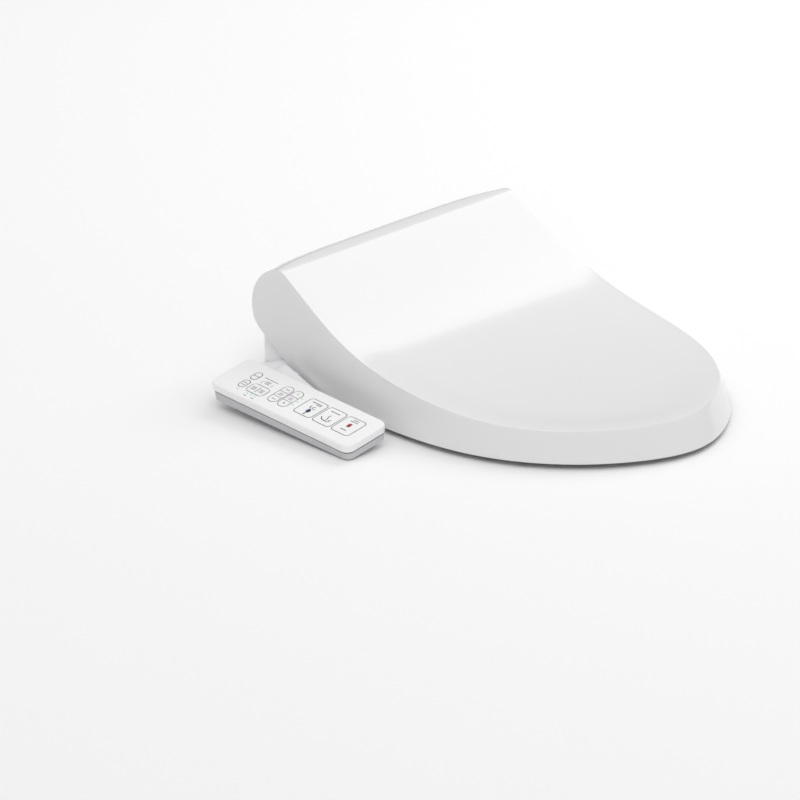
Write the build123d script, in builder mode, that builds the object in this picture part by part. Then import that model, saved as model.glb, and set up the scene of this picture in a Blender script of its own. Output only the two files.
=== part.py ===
"""Electric bidet seat: lid, heated seat ring, washing unit and side control panel.

Frame: X across the seat, +Y towards the wall, +Z up, in millimetres. The origin is on the rim
plane that the seat stands on, midway between the two fixing holes. The user sits facing -Y, so
the control panel, at the user's right hand, is on the -X side.
"""
import os
from math import atan2, cos, degrees, radians, sin

from build123d import *

os.makedirs("parts", exist_ok=True)

# ---------------------------------------------------------------- driving dimensions
gap = 0.3                     # plain clearance between neighbouring pieces
wall = 2.6                    # moulded wall thickness

hinge_y = 34.0                # hinge line of seat and lid
hinge_z = 94.5
pin_r = 5.0
bore_r = pin_r + 0.05         # running bore on a hinge pin

lid_low = 7.4                 # height of the lid's lower edge above the rim
lid_roll_r = 49.5             # outer radius of the lid's rounded rear ends
roll_end = 80.0               # angle at which the lid's top ends behind its crest
strip_start = 78.6            # angles of the rear strip that follows the crest
strip_end = 66.0
strip_inner_r = 38.0

unit_half_w = 186.0           # washing unit
unit_front = -66.0
unit_back = 74.0
unit_low = 3.5
tray_top = 24.0
unit_step_z = 60.0            # the back wall steps in above this height
cover_r = 36.0                # radius of the cover around the hinge line
pocket_half_w = 180.5         # face of the pockets that the seat's ears turn in
cover_front_z = 44.0

ring_low = 5.5                # seat shells
shell_split = 10.0
ring_top = 30.0
bridge_front = -108.0         # rear edge of the seat opening
bridge_back = -74.0
bridge_low = 37.0
ear_r = 27.0
ear_inner = 181.4
ear_outer = 186.0

plate_half_w = 106.0          # mounting plate
plate_t = 4.0
bolt_half = 70.0              # fixing holes lie at +/- this on the X axis
slot_w = 11.0
slot_len = 35.0

panel_at = (-262.8, -63.5, 33.0)   # centre of the control panel's top face
panel_w = 65.4
panel_l = 224.4
panel_roll = 9.8             # tilt outwards
panel_pitch = 3.85            # tilt forwards
panel_corner = 11.0
cover_h = 10.5
gasket_h = 1.0
base_h_back = 11.5
base_h_front = 8.2
key_travel = 0.6
key_t = 2.0

nozzle_tilt = 25.0            # wash nozzles slope down to the front
nozzle_r = 5.5
nozzle_x = 13.0               # half the distance between the two nozzles
nozzle_len = 98.0
nozzle_set_back = 36.0        # tip behind the shutter when parked
bay_y = -67.0                 # shutter plane
bay_z = 14.0                  # height of the nozzle axis at the shutter plane
flap_hinge_z = 30.0
flap_len = 24.0
flap_t = 1.4


seat_t = 3.0                  # thickness of the seat's upper shell
lid_top_t = 3.2               # thickness of the lid's top
lid_pin_depth = 3.7           # how far a hinge pin reaches into the lid
boss_r = 11.0
damper_r = 13.0
damper_len = 49.5
pin_grip = 22.0               # length of a hinge pin inside the unit
pocket_gap = 3.0              # clearance around an ear

tip_len = 18.0                # nozzle tip
neck_len = 12.0
neck_r = nozzle_r - 1.2
tip_gap = 0.1

cord_x = -120.0               # mains lead outlet
cord_z = 14.0
inlet_y = 45.0                # water inlet
inlet_z = 14.0
inlet_r = 10.45               # outside of a G1/2 thread
screw_r = 1.8
half_span = unit_half_w + 30  # side sections are drawn beyond the widest outline


# ---------------------------------------------------------------- shared outlines
def around_hinge(radius, angle):
    """Point (y, z) at a radius and an angle from +Y about the hinge line."""
    return (hinge_y + radius * cos(radians(angle)), hinge_z + radius * sin(radians(angle)))


def rounded_front(side_points, tip_y, back_y):
    """Closed outline: straight back edge, a spline down each side, meeting at a rounded front tip."""
    path = [(side_points[0][0], back_y), *side_points, (0, tip_y)]
    mirrored = [(-x, y) for x, y in path]
    with BuildLine() as outline:
        Spline(*path, tangents=[(0, -1), (-1, 0)], tangent_scalars=(1, 1))
        Spline(*mirrored, tangents=[(0, -1), (1, 0)], tangent_scalars=(1, 1))
        Line(path[0], mirrored[0])
    return outline.line


# The lid's side wall flares outwards towards its lower edge, so it is lofted between an outline
# on the rim plane and a smaller one above the lid.
flare_top = 150.0
lid_foot = [(195.1, 35), (202.9, -50), (206, -138), (202.5, -225), (173.8, -313), (127.6, -374), (75, -414)]
lid_head = [(190.2, 35), (189.3, -50), (175.7, -138), (151.1, -212), (126, -277), (88, -326), (46, -355)]
lid_foot_tip = -437.9
lid_head_tip = -366.0
lid_back = 84.0


def flared_body(inset, low, high):
    """Solid between the rim plane and above the lid, its walls set in by inset."""
    def shrink(points):
        return [(x - inset, y + inset * (y < -200)) for x, y in points]
    with BuildPart() as body:
        with BuildSketch(Plane.XY.offset(low)):
            with BuildLine():
                add(rounded_front(shrink(lid_foot), lid_foot_tip + inset, lid_back))
            make_face()
        with BuildSketch(Plane.XY.offset(high)):
            with BuildLine():
                add(rounded_front(shrink(lid_head), lid_head_tip + inset, lid_back))
            make_face()
        loft(ruled=True)
    return body.part


swoop = [(-440, 43.6), (-375, 41.2), (-334, 40.8), (-248, 44.6), (-167, 54.6), (-86, 76.0), (-19, 109.2)]
crest_y = 37.0
crest = (crest_y, hinge_z + (lid_roll_r**2 - (crest_y - hinge_y) ** 2) ** 0.5)


def swoop_line(drop):
    """The concave line of the lid's top, from front to crest, lowered by drop."""
    points = [(y, z - drop) for y, z in swoop] + [(crest[0] - 0.5 * drop, crest[1] - drop)]
    return Spline(*points)


# ---------------------------------------------------------------- lid
cheek_low = [(hinge_y + 36.4, 64.6), (38, 43.4), (3, 24.2), (-26, 14.9), (-80, 8.4), (-150, lid_low)]
cheek_back = around_hinge(lid_roll_r, -25)

with BuildPart() as lid_hollow:
    with BuildSketch(Plane.YZ.offset(-half_span)):
        with BuildLine():
            swoop_line(lid_top_t)
            inner_crest = (crest[0] - 0.5 * lid_top_t, crest[1] - lid_top_t)
            Polyline(
                inner_crest,
                around_hinge(lid_roll_r - wall, roll_end),
                around_hinge(lid_roll_r + 12, roll_end),
                (lid_back + 20, hinge_z),
                (lid_back + 20, -20),
                (swoop[0][0], -20),
                (swoop[0][0], swoop[0][1] - lid_top_t),
            )
        make_face()
    extrude(amount=2 * half_span)
    add(flared_body(wall, -1, flare_top + 1), mode=Mode.INTERSECT)

with BuildPart() as lid_shell:
    with BuildSketch(Plane.YZ.offset(-half_span)):
        with BuildLine():
            swoop_line(0)
            ThreePointArc(crest, around_hinge(lid_roll_r, 30), cheek_back)
            Spline(cheek_back, *cheek_low)
            Polyline(cheek_low[-1], (swoop[0][0], lid_low), swoop[0])
        make_face()
        fillet(vertices().sort_by_distance((0, *crest))[0], radius=9)
    extrude(amount=2 * half_span)
    add(flared_body(0, 0, flare_top), mode=Mode.INTERSECT)
    add(lid_hollow.part, mode=Mode.SUBTRACT)
    for side in (-1, 1):
        with BuildSketch(Plane.YZ.offset(side * (ear_outer + 0.6))):
            with Locations((hinge_y, hinge_z)):
                Circle(boss_r)
        extrude(amount=side * 5.0)
        with BuildSketch(Plane.YZ.offset(side * ear_outer)):
            with Locations((hinge_y, hinge_z)):
                Circle(bore_r)
        extrude(amount=side * lid_pin_depth, mode=Mode.SUBTRACT)
lid_shell.part.label = "lid_shell"
export_step(lid_shell.part, "parts/lid_shell.step")

# the strip behind the lid's crest, which closes the slot above the rear cover
strip_half_w = 187.2
with BuildPart() as lid_rear_strip:
    with BuildSketch(Plane.YZ.offset(-strip_half_w)):
        with BuildLine():
            outer_arc = [around_hinge(lid_roll_r - 0.5, a) for a in (strip_end, 72, strip_start)]
            inner_arc = [around_hinge(strip_inner_r, a) for a in (strip_start, 72, strip_end)]
            ThreePointArc(*outer_arc)
            Line(outer_arc[2], inner_arc[0])
            ThreePointArc(*inner_arc)
            Line(inner_arc[2], outer_arc[0])
        make_face()
    extrude(amount=2 * strip_half_w)
    with BuildSketch(Plane.YZ.offset(-strip_half_w)):
        with BuildLine():
            tongue = [around_hinge(r, a) for r, a in ((45.2, 78), (45.2, 88), (42.4, 88), (42.4, 78))]
            Polyline(*tongue, close=True)
        make_face()
    extrude(amount=2 * strip_half_w)
lid_rear_strip.part.label = "lid_rear_strip"
export_step(lid_rear_strip.part, "parts/lid_rear_strip.step")

# rubber buffers under the lid, resting just above the seat
with BuildPart() as lid_buffers:
    with BuildSketch(Plane.XY.offset(ring_top + 0.3)):
        with Locations((-120, -300), (120, -300)):
            SlotOverall(24, 9)
    extrude(amount=7.0)
lid_buffers.part.label = "lid_buffers"
export_step(lid_buffers.part, "parts/lid_buffers.step")

# ---------------------------------------------------------------- seat
ring_side = [(186.5, -84), (192.6, -138), (185.3, -220.5), (157.8, -300.7), (114.6, -357.3), (64.6, -395.8)]
ring_tip = -415.0
hole_half_w = 104.0           # opening of the seat
hole_front = -352.0
hole_half_l = (bridge_front - hole_front) / 2
hole_middle = (bridge_front + hole_front) / 2
ring_slope = [(-420, 27.5), (-330, ring_top), (-200, 31.5), (-140, 37.5), (bridge_front, 48.0), (bridge_back, 56.0)]


def ring_body(inset, low, drop):
    """The seat ring: outline extruded to its curved top, with the opening left clear."""
    side = [(x - inset, y) for x, y in ring_side if y < bridge_back - inset - 2]
    top = [(y, z - drop) for y, z in ring_slope]
    with BuildPart() as body:
        with BuildSketch(Plane.YZ.offset(-half_span)):
            with BuildLine():
                Spline(*top)
                Polyline(top[-1], (-20, top[-1][1]), (-20, -20), (-440, -20), (-440, top[0][1]), top[0])
            make_face()
        extrude(amount=2 * half_span)
        with BuildSketch(Plane.XY.offset(low)):
            with BuildLine():
                add(rounded_front(side, ring_tip + inset, bridge_back - inset))
            make_face()
        extrude(amount=70, mode=Mode.INTERSECT)
        with BuildSketch(Plane.XY):
            with Locations((0, hole_middle)):
                Ellipse(hole_half_w + inset, hole_half_l + inset)
        extrude(amount=100, mode=Mode.SUBTRACT)
    return body.part


notch_half_w = 88.0            # clear space below the seat's bridge
notch_l = 100.0
with BuildPart() as bridge_notch:
    with BuildSketch(Plane.XY):
        with Locations((0, bridge_front)):
            Rectangle(2 * notch_half_w, notch_l)
    extrude(amount=bridge_low)

with BuildPart() as seat_upper_shell:
    add(ring_body(0, shell_split, 0))
    add(ring_body(seat_t, shell_split - 1, seat_t + 0.2), mode=Mode.SUBTRACT)
    # ears reach back along the sides of the washing unit to the hinge line
    for side in (-1, 1):
        with BuildSketch(Plane.YZ.offset(side * ear_inner)):
            with BuildLine():
                Polyline(
                    around_hinge(ear_r, 118),
                    (bridge_back - 8, 53.0),
                    (bridge_back - 14, shell_split + 22),
                    (bridge_back + 2, shell_split + 20),
                    around_hinge(ear_r, -62),
                    close=True,
                )
            make_face()
            with Locations((hinge_y, hinge_z)):
                Circle(ear_r)
                Circle(bore_r, mode=Mode.SUBTRACT)
        extrude(amount=side * (ear_outer - ear_inner))
    # the bridge behind the opening stands clear of the wash nozzles
    add(bridge_notch.part, mode=Mode.SUBTRACT)
seat_upper_shell.part.label = "seat_upper_shell"
export_step(seat_upper_shell.part, "parts/seat_upper_shell.step")

with BuildPart() as seat_lower_shell:
    add(ring_body(1.2, ring_low, 0))
    split(bisect_by=Plane.XY.offset(shell_split - 0.05), keep=Keep.BOTTOM)
    add(bridge_notch.part, mode=Mode.SUBTRACT)
seat_lower_shell.part.label = "seat_lower_shell"
export_step(seat_lower_shell.part, "parts/seat_lower_shell.step")

# heater foil bonded under the top of the seat
foil_t = 0.6
with BuildPart() as seat_heater:
    add(ring_body(14.0, ring_low, 3.6))
    add(ring_body(13.9, ring_low - 1, 3.6 + foil_t), mode=Mode.SUBTRACT)
    with BuildSketch(Plane.XY):
        with Locations((0, bridge_front)):
            Rectangle(2 * notch_half_w + 4, notch_l + 10)
    extrude(amount=100, mode=Mode.SUBTRACT)
    split(bisect_by=Plane.XY.offset(shell_split + 4), keep=Keep.TOP)
seat_heater.part.label = "seat_heater"
export_step(seat_heater.part, "parts/seat_heater.step")

with BuildPart() as seat_buffers:
    with BuildSketch(Plane.XY):
        with Locations((-138, -262), (138, -262), (-150, -150), (150, -150)):
            SlotOverall(34, 13, rotation=90)
    extrude(amount=ring_low)
    fillet(edges().group_by(Axis.Z)[0], radius=1.2)
seat_buffers.part.label = "seat_buffers"
export_step(seat_buffers.part, "parts/seat_buffers.step")

# ---------------------------------------------------------------- washing unit
bay_half_w = 34.0             # nozzle bay in the middle of the unit's front
shelf_z = 33.5                # front shelf below the seat's bridge


def unit_section(inset, low):
    """Side section of the washing unit's housing, its walls set in by inset."""
    radius = cover_r - inset
    front_top = around_hinge(radius, 132)
    back_low = around_hinge(radius, -42)
    with BuildLine() as outline:
        Polyline(
            back_low,
            (back_low[0], unit_step_z - inset),
            (unit_back - inset, unit_step_z - inset),
            (unit_back - inset, low),
            (unit_front + inset, low),
            (unit_front + inset, cover_front_z - inset),
            front_top,
        )
        ThreePointArc(front_top, around_hinge(radius, 60), back_low)
    return outline.line


with BuildPart() as rear_cover:
    with BuildSketch(Plane.YZ.offset(-unit_half_w)):
        with BuildLine():
            add(unit_section(0, tray_top + gap))
        make_face()
    extrude(amount=2 * unit_half_w)
    fillet(edges().filter_by(Axis.Z).sort_by(Axis.Y)[-2:], radius=7)
    with BuildSketch(Plane.YZ.offset(-pocket_half_w + wall)):
        with BuildLine():
            add(unit_section(wall, tray_top - 2))
        make_face()
    extrude(amount=2 * (pocket_half_w - wall), mode=Mode.SUBTRACT)
    # pockets in both sides for the seat's ears
    for side in (-1, 1):
        with BuildSketch(Plane.YZ.offset(side * pocket_half_w)):
            with BuildLine():
                Polyline(
                    around_hinge(ear_r + pocket_gap, -62),
                    (unit_front - 5, shell_split + 12),
                    (unit_front - 5, 140),
                    (hinge_y, 140),
                    (hinge_y + ear_r + pocket_gap, 140),
                    (hinge_y + ear_r + pocket_gap, hinge_z),
                    close=True,
                )
            make_face()
            with Locations((hinge_y, hinge_z)):
                Circle(ear_r + pocket_gap)
        extrude(amount=side * 20, mode=Mode.SUBTRACT)
        with BuildSketch(Plane.YZ.offset(side * (pocket_half_w - wall - 4))):
            with Locations((hinge_y, hinge_z)):
                Circle(pin_r)
        extrude(amount=side * 20, mode=Mode.SUBTRACT)
    # opening of the nozzle bay
    with BuildSketch(Plane.XZ.offset(-unit_front - 6)):
        with Locations((0, shelf_z / 2)):
            Rectangle(2 * bay_half_w, shelf_z + 1.5)
    extrude(amount=10, mode=Mode.SUBTRACT)
rear_cover.part.label = "rear_cover"
export_step(rear_cover.part, "parts/rear_cover.step")

plate_back = 50.0
plate_front = -38.0
release_y = 8.0
release_z = 14.0
release_l = 28.0
release_h = 11.0
release_travel = 4.0
housing_screw_at = [(-172, -52), (172, -52), (-172, 60), (172, 60)]
with BuildPart() as base_tray:
    with BuildSketch(Plane.XY.offset(unit_low)):
        with Locations((0, (unit_front + unit_back) / 2)):
            RectangleRounded(2 * unit_half_w, unit_back - unit_front, 7)
    extrude(amount=tray_top - unit_low)
    with BuildSketch(Plane.XY.offset(unit_low + wall)):
        with Locations((0, (unit_front + unit_back) / 2)):
            RectangleRounded(2 * (unit_half_w - wall), unit_back - unit_front - 2 * wall, 5)
    extrude(amount=tray_top, mode=Mode.SUBTRACT)
    # raised floor over the mounting plate and its bolt heads
    with BuildSketch(Plane.XY.offset(unit_low)):
        with Locations((0, (plate_back + plate_front) / 2)):
            Rectangle(2 * plate_half_w + 10, plate_back - plate_front + 10)
    extrude(amount=17.5)
    with BuildSketch(Plane.XY.offset(unit_low)):
        with Locations((0, (plate_back + plate_front) / 2)):
            Rectangle(2 * plate_half_w + 3, plate_back - plate_front + 3)
    extrude(amount=15.0, mode=Mode.SUBTRACT)
    # opening of the nozzle bay, drain hole and cord outlet
    with BuildSketch(Plane.XY.offset(unit_low)):
        with Locations((0, unit_front + 18)):
            Rectangle(2 * bay_half_w, 50)
    extrude(amount=30, mode=Mode.SUBTRACT)
    with BuildSketch(Plane.YZ.offset(unit_half_w + 1)):
        with Locations((release_y, release_z)):
            RectangleRounded(release_l + 2 * gap, release_h + 2 * gap, 3)
    extrude(amount=-6, mode=Mode.SUBTRACT)
    with BuildSketch(Plane.XZ.offset(-unit_back - 1)):
        with Locations((cord_x, cord_z)):
            Circle(6)
    extrude(amount=6, mode=Mode.SUBTRACT)
    with BuildSketch(Plane.YZ.offset(unit_half_w + 1)):
        with Locations((inlet_y, inlet_z)):
            Circle(8)
    extrude(amount=-6, mode=Mode.SUBTRACT)
    with BuildSketch(Plane.XY.offset(unit_low - 1)):
        with Locations(housing_screw_at):
            Circle(screw_r + 0.1)
    extrude(amount=6, mode=Mode.SUBTRACT)
base_tray.part.label = "base_tray"
export_step(base_tray.part, "parts/base_tray.step")

with BuildPart() as mounting_plate:
    with BuildSketch(Plane.XY):
        with Locations((0, (plate_back + plate_front) / 2)):
            RectangleRounded(2 * plate_half_w, plate_back - plate_front, 8)
        with Locations((-bolt_half, 0), (bolt_half, 0)):
            SlotOverall(slot_len, slot_w, mode=Mode.SUBTRACT)
    extrude(amount=plate_t)
    # side rails that the unit slides onto
    with BuildSketch(Plane.XY.offset(plate_t)):
        with Locations((-plate_half_w + 4, 6), (plate_half_w - 4, 6)):
            Rectangle(5, 70)
    extrude(amount=6)
mounting_plate.part.label = "mounting_plate"
export_step(mounting_plate.part, "parts/mounting_plate.step")

with BuildPart() as unit_feet:
    with BuildSketch(Plane.XY):
        with GridLocations(300, 100, 2, 2):
            with Locations((0, 4)):
                SlotOverall(26, 10)
    extrude(amount=unit_low)
unit_feet.part.label = "unit_feet"
export_step(unit_feet.part, "parts/unit_feet.step")

with BuildPart() as hinge_pins:
    for side in (-1, 1):
        with BuildSketch(Plane.YZ.offset(side * (pocket_half_w - pin_grip))):
            with Locations((hinge_y, hinge_z)):
                Circle(pin_r)
        extrude(amount=side * (pin_grip + ear_outer - pocket_half_w + 3.0))
hinge_pins.part.label = "hinge_pins"
export_step(hinge_pins.part, "parts/hinge_pins.step")


def rotary_damper(side):
    """Rotary damper inside the unit, its body gripping the inner end of a hinge pin."""
    with BuildPart() as damper:
        with BuildSketch(Plane.YZ.offset(side * (pocket_half_w - wall - 50))):
            with Locations((hinge_y, hinge_z)):
                Circle(damper_r)
        extrude(amount=side * damper_len)
        with BuildSketch(Plane.YZ.offset(side * (pocket_half_w - pin_grip))):
            with Locations((hinge_y, hinge_z)):
                Circle(pin_r)
        extrude(amount=side * 30, mode=Mode.SUBTRACT)
        with BuildSketch(Plane.YZ.offset(side * (pocket_half_w - wall - 44))):
            with Locations((hinge_y, hinge_z - damper_r - 3)):
                Rectangle(16, 8)
        extrude(amount=side * 12)
    return damper


lid_damper = rotary_damper(-1)
lid_damper.part.label = "lid_damper"
export_step(lid_damper.part, "parts/lid_damper.step")
seat_damper = rotary_damper(1)
seat_damper.part.label = "seat_damper"
export_step(seat_damper.part, "parts/seat_damper.step")

# ---------------------------------------------------------------- water path, inside the unit
heater_at = (118.0, 6.0)
heater_low = 23.0
heater_h = 42.0
stub_h = 9.0                  # pipe stubs on the heater
with BuildPart() as water_heater:
    with BuildSketch(Plane.XY.offset(heater_low)):
        with Locations(heater_at):
            RectangleRounded(72, 62, 9)
    extrude(amount=heater_h)
    fillet(edges().group_by(Axis.Z)[-1], radius=4)
    with BuildSketch(Plane.XY.offset(heater_low + heater_h)):
        with Locations((heater_at[0] - 22, heater_at[1] - 10), (heater_at[0] + 22, heater_at[1] - 10)):
            Circle(4.5)
    extrude(amount=stub_h)
water_heater.part.label = "water_heater"
export_step(water_heater.part, "parts/water_heater.step")

with BuildPart() as inlet_fitting:
    with BuildSketch(Plane.YZ.offset(unit_half_w - 22)):
        with Locations((inlet_y, inlet_z)):
            Circle(7.9)
    extrude(amount=22.2)
    with BuildSketch(Plane.YZ.offset(unit_half_w + 0.2)):
        with Locations((inlet_y, inlet_z)):
            RegularPolygon(10.2, 6, major_radius=False)
    extrude(amount=3.8)
    with BuildSketch(Plane.YZ.offset(unit_half_w + 4)):
        with Locations((inlet_y, inlet_z)):
            Circle(inlet_r)
    extrude(amount=14)
    chamfer(edges().group_by(Axis.X)[-1], length=0.8)
    with BuildSketch(Plane.YZ.offset(unit_half_w - 22)):
        with Locations((inlet_y, inlet_z)):
            Circle(5.0)
    extrude(amount=50, mode=Mode.SUBTRACT)
inlet_fitting.part.label = "inlet_fitting"
export_step(inlet_fitting.part, "parts/inlet_fitting.step")

with BuildPart() as solenoid_valve:
    with BuildSketch(Plane.YZ.offset(unit_half_w - 60)):
        with Locations((inlet_y + 6, inlet_z)):
            RectangleRounded(22, 14, 3)
    extrude(amount=37.5)
    with BuildSketch(Plane.XY.offset(inlet_z + 7)):
        with Locations((unit_half_w - 42, inlet_y + 6)):
            Circle(10)
    extrude(amount=24)
    fillet(edges().group_by(Axis.Z)[-1], radius=2)
solenoid_valve.part.label = "solenoid_valve"
export_step(solenoid_valve.part, "parts/solenoid_valve.step")

diverter_x = 62.0
with BuildPart() as flow_diverter:
    with BuildSketch(Plane.XY.offset(heater_low)):
        with Locations((diverter_x, 20)):
            RectangleRounded(26, 30, 4)
    extrude(amount=24)
    with BuildSketch(Plane.XY.offset(heater_low + 24)):
        with Locations((diverter_x, 20)):
            Circle(9.5)
    extrude(amount=20)
flow_diverter.part.label = "flow_diverter"
export_step(flow_diverter.part, "parts/flow_diverter.step")

with BuildPart() as vacuum_breaker:
    with BuildSketch(Plane.XY.offset(heater_low)):
        with Locations((diverter_x, 48)):
            Circle(9)
    extrude(amount=26)
    with BuildSketch(Plane.XY.offset(heater_low + 26)):
        with Locations((diverter_x, 48)):
            Circle(6)
    extrude(amount=8)
vacuum_breaker.part.label = "vacuum_breaker"
export_step(vacuum_breaker.part, "parts/vacuum_breaker.step")

hose_r = 3.4
stub_z = heater_low + heater_h + stub_h
hose_top_z = stub_z + 14
diverter_top = heater_low + 44
with BuildPart() as warm_water_hose:
    start = (heater_at[0] - 22, heater_at[1] - 10, stub_z)
    end = (diverter_x, 20, diverter_top)
    with BuildLine() as hose_path:
        FilletPolyline(
            start,
            (start[0], start[1], hose_top_z),
            (end[0], end[1], hose_top_z),
            end,
            radius=8,
        )
    with BuildSketch(Plane(origin=start, z_dir=(0, 0, 1))):
        Circle(hose_r)
    sweep(path=hose_path.line)
warm_water_hose.part.label = "warm_water_hose"
export_step(warm_water_hose.part, "parts/warm_water_hose.step")

# ---------------------------------------------------------------- wash nozzles
along = (0, -cos(radians(nozzle_tilt)), -sin(radians(nozzle_tilt)))


def nozzle_plane(x, back):
    """Plane across a nozzle's axis, facing forwards, at a distance behind the shutter plane."""
    origin = (x, bay_y - along[1] * back, bay_z - along[2] * back)
    return Plane(origin=origin, x_dir=(1, 0, 0), z_dir=along)


def nozzle_tube(x):
    """Thin-walled tube with a narrower neck that its tip slides over."""
    with BuildPart() as tube:
        with BuildSketch(nozzle_plane(x, nozzle_set_back + nozzle_len)):
            Circle(nozzle_r)
        extrude(amount=nozzle_len - tip_len)
        with BuildSketch(nozzle_plane(x, nozzle_set_back + tip_len)):
            Circle(neck_r)
        extrude(amount=neck_len)
        with BuildSketch(nozzle_plane(x, nozzle_set_back + nozzle_len)):
            Circle(2.2)
        extrude(amount=nozzle_len - 6, mode=Mode.SUBTRACT)
    return tube


def nozzle_tip(x, spray_holes):
    """Rounded cap with spray holes in its upper side."""
    with BuildPart() as tip:
        with BuildSketch(nozzle_plane(x, nozzle_set_back + tip_len - tip_gap)):
            Circle(nozzle_r)
        extrude(amount=tip_len - tip_gap)
        fillet(faces().sort_by(Axis.Y)[0].edges(), radius=3.5)
        with BuildSketch(nozzle_plane(x, nozzle_set_back + tip_len - tip_gap)):
            Circle(neck_r)
        extrude(amount=neck_len + tip_gap, mode=Mode.SUBTRACT)
        spray = nozzle_plane(x, nozzle_set_back + 8)
        with BuildSketch(Plane(origin=spray.origin, x_dir=(1, 0, 0), z_dir=spray.y_dir)):
            with PolarLocations(1.9, spray_holes):
                Circle(0.5)
        extrude(amount=nozzle_r + 2, mode=Mode.SUBTRACT)
    return tip


rear_nozzle = nozzle_tube(nozzle_x)
rear_nozzle.part.label = "rear_nozzle"
export_step(rear_nozzle.part, "parts/rear_nozzle.step")
rear_nozzle_tip = nozzle_tip(nozzle_x, 3)
rear_nozzle_tip.part.label = "rear_nozzle_tip"
export_step(rear_nozzle_tip.part, "parts/rear_nozzle_tip.step")
front_nozzle = nozzle_tube(-nozzle_x)
front_nozzle.part.label = "front_nozzle"
export_step(front_nozzle.part, "parts/front_nozzle.step")
front_nozzle_tip = nozzle_tip(-nozzle_x, 5)
front_nozzle_tip.part.label = "front_nozzle_tip"
export_step(front_nozzle_tip.part, "parts/front_nozzle_tip.step")

cradle_len = 102.0
cradle_start = 24.0           # distance of the cradle's mouth behind the shutter plane
with BuildPart() as nozzle_cradle:
    with BuildSketch(nozzle_plane(0, cradle_start + cradle_len)):
        Rectangle(2 * nozzle_x + 24, 2 * nozzle_r + 6)
    extrude(amount=cradle_len)
    with BuildSketch(nozzle_plane(0, cradle_start + cradle_len + 10)):
        with Locations((-nozzle_x, 0), (nozzle_x, 0)):
            Circle(nozzle_r + 0.35)
    extrude(amount=cradle_len + 20, mode=Mode.SUBTRACT)
nozzle_cradle.part.label = "nozzle_cradle"
export_step(nozzle_cradle.part, "parts/nozzle_cradle.step")

with BuildPart() as nozzle_drives:
    for side in (-1, 1):
        with BuildSketch(nozzle_plane(side * (nozzle_x + 21), 96)):
            RectangleRounded(16, 24, 3)
        extrude(amount=26)
nozzle_drives.part.label = "nozzle_drives"
export_step(nozzle_drives.part, "parts/nozzle_drives.step")

# front wall of the nozzle bay, between the shutters and the cradle
with BuildPart() as nozzle_bay_frame:
    with BuildSketch(Plane.XY.offset(unit_low)):
        with Locations((0, unit_front + 9)):
            Rectangle(2 * bay_half_w - 1, 17)
    extrude(amount=shelf_z - unit_low)
    with BuildSketch(Plane.XY):
        with Locations((0, unit_front + 7)):
            Rectangle(2 * bay_half_w - 9, 24)
    extrude(amount=shelf_z - 3.5, mode=Mode.SUBTRACT)
nozzle_bay_frame.part.label = "nozzle_bay_frame"
export_step(nozzle_bay_frame.part, "parts/nozzle_bay_frame.step")

flap_half = 11.6


def nozzle_flap(x):
    """Shutter plate hanging from a pivot rod in front of its nozzle."""
    with BuildPart() as flap:
        with BuildSketch(Plane.XZ.offset(-bay_y)):
            with Locations((x, flap_hinge_z - flap_len / 2)):
                RectangleRounded(2 * flap_half, flap_len, 2)
        extrude(amount=flap_t)
        with BuildSketch(Plane.YZ.offset(x - flap_half)):
            with Locations((bay_y - flap_t / 2, flap_hinge_z)):
                Circle(1.5)
        extrude(amount=2 * flap_half)
        with BuildSketch(Plane.YZ.offset(x - flap_half)):
            with Locations((bay_y - flap_t / 2, flap_hinge_z)):
                Circle(0.85)
        extrude(amount=2 * flap_half, mode=Mode.SUBTRACT)
    return flap


rear_nozzle_flap = nozzle_flap(nozzle_x)
rear_nozzle_flap.part.label = "rear_nozzle_flap"
export_step(rear_nozzle_flap.part, "parts/rear_nozzle_flap.step")
front_nozzle_flap = nozzle_flap(-nozzle_x)
front_nozzle_flap.part.label = "front_nozzle_flap"
export_step(front_nozzle_flap.part, "parts/front_nozzle_flap.step")

# the rod that both shutters turn on, held in the bay frame's ends
with BuildPart() as flap_rod:
    with BuildSketch(Plane.YZ.offset(-bay_half_w + 1.5)):
        with Locations((bay_y - flap_t / 2, flap_hinge_z)):
            Circle(0.8)
    extrude(amount=2 * bay_half_w - 3)
    for side in (-1, 1):
        with BuildSketch(Plane.YZ.offset(side * (bay_half_w - 6))):
            with Locations((bay_y - 0.55, flap_hinge_z)):
                Rectangle(3.9, 4)
        extrude(amount=side * 4.5)
flap_rod.part.label = "flap_rod"
export_step(flap_rod.part, "parts/flap_rod.step")

# ---------------------------------------------------------------- electrics, inside the unit
board_z = heater_low + 4
main_board_t = 1.6
with BuildPart() as control_board:
    with BuildSketch(Plane.XY.offset(board_z)):
        with Locations((-124, 4)):
            Rectangle(72, 84)
    extrude(amount=main_board_t)
    with BuildSketch(Plane.XY.offset(board_z + main_board_t)):
        with Locations((-142, 20), (-142, -14), (-106, -20)):
            Rectangle(24, 14)
    extrude(amount=9)
    with BuildSketch(Plane.XY.offset(board_z + main_board_t)):
        with Locations((-114, 10), (-99, 10)):
            Circle(6)
    extrude(amount=16)
control_board.part.label = "control_board"
export_step(control_board.part, "parts/control_board.step")

with BuildPart() as cord_gland:
    with BuildSketch(Plane.XZ.offset(-unit_back - 5)):
        with Locations((cord_x, cord_z)):
            Circle(9)
    extrude(amount=4.8)
    with BuildSketch(Plane.XZ.offset(-unit_back - 5)):
        with Locations((cord_x, cord_z)):
            Circle(5.8)
    extrude(amount=14)
    with BuildSketch(Plane.XZ.offset(-unit_back - 5)):
        with Locations((cord_x, cord_z)):
            Circle(3.6)
    extrude(amount=20, mode=Mode.SUBTRACT)
cord_gland.part.label = "cord_gland"
export_step(cord_gland.part, "parts/cord_gland.step")

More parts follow.
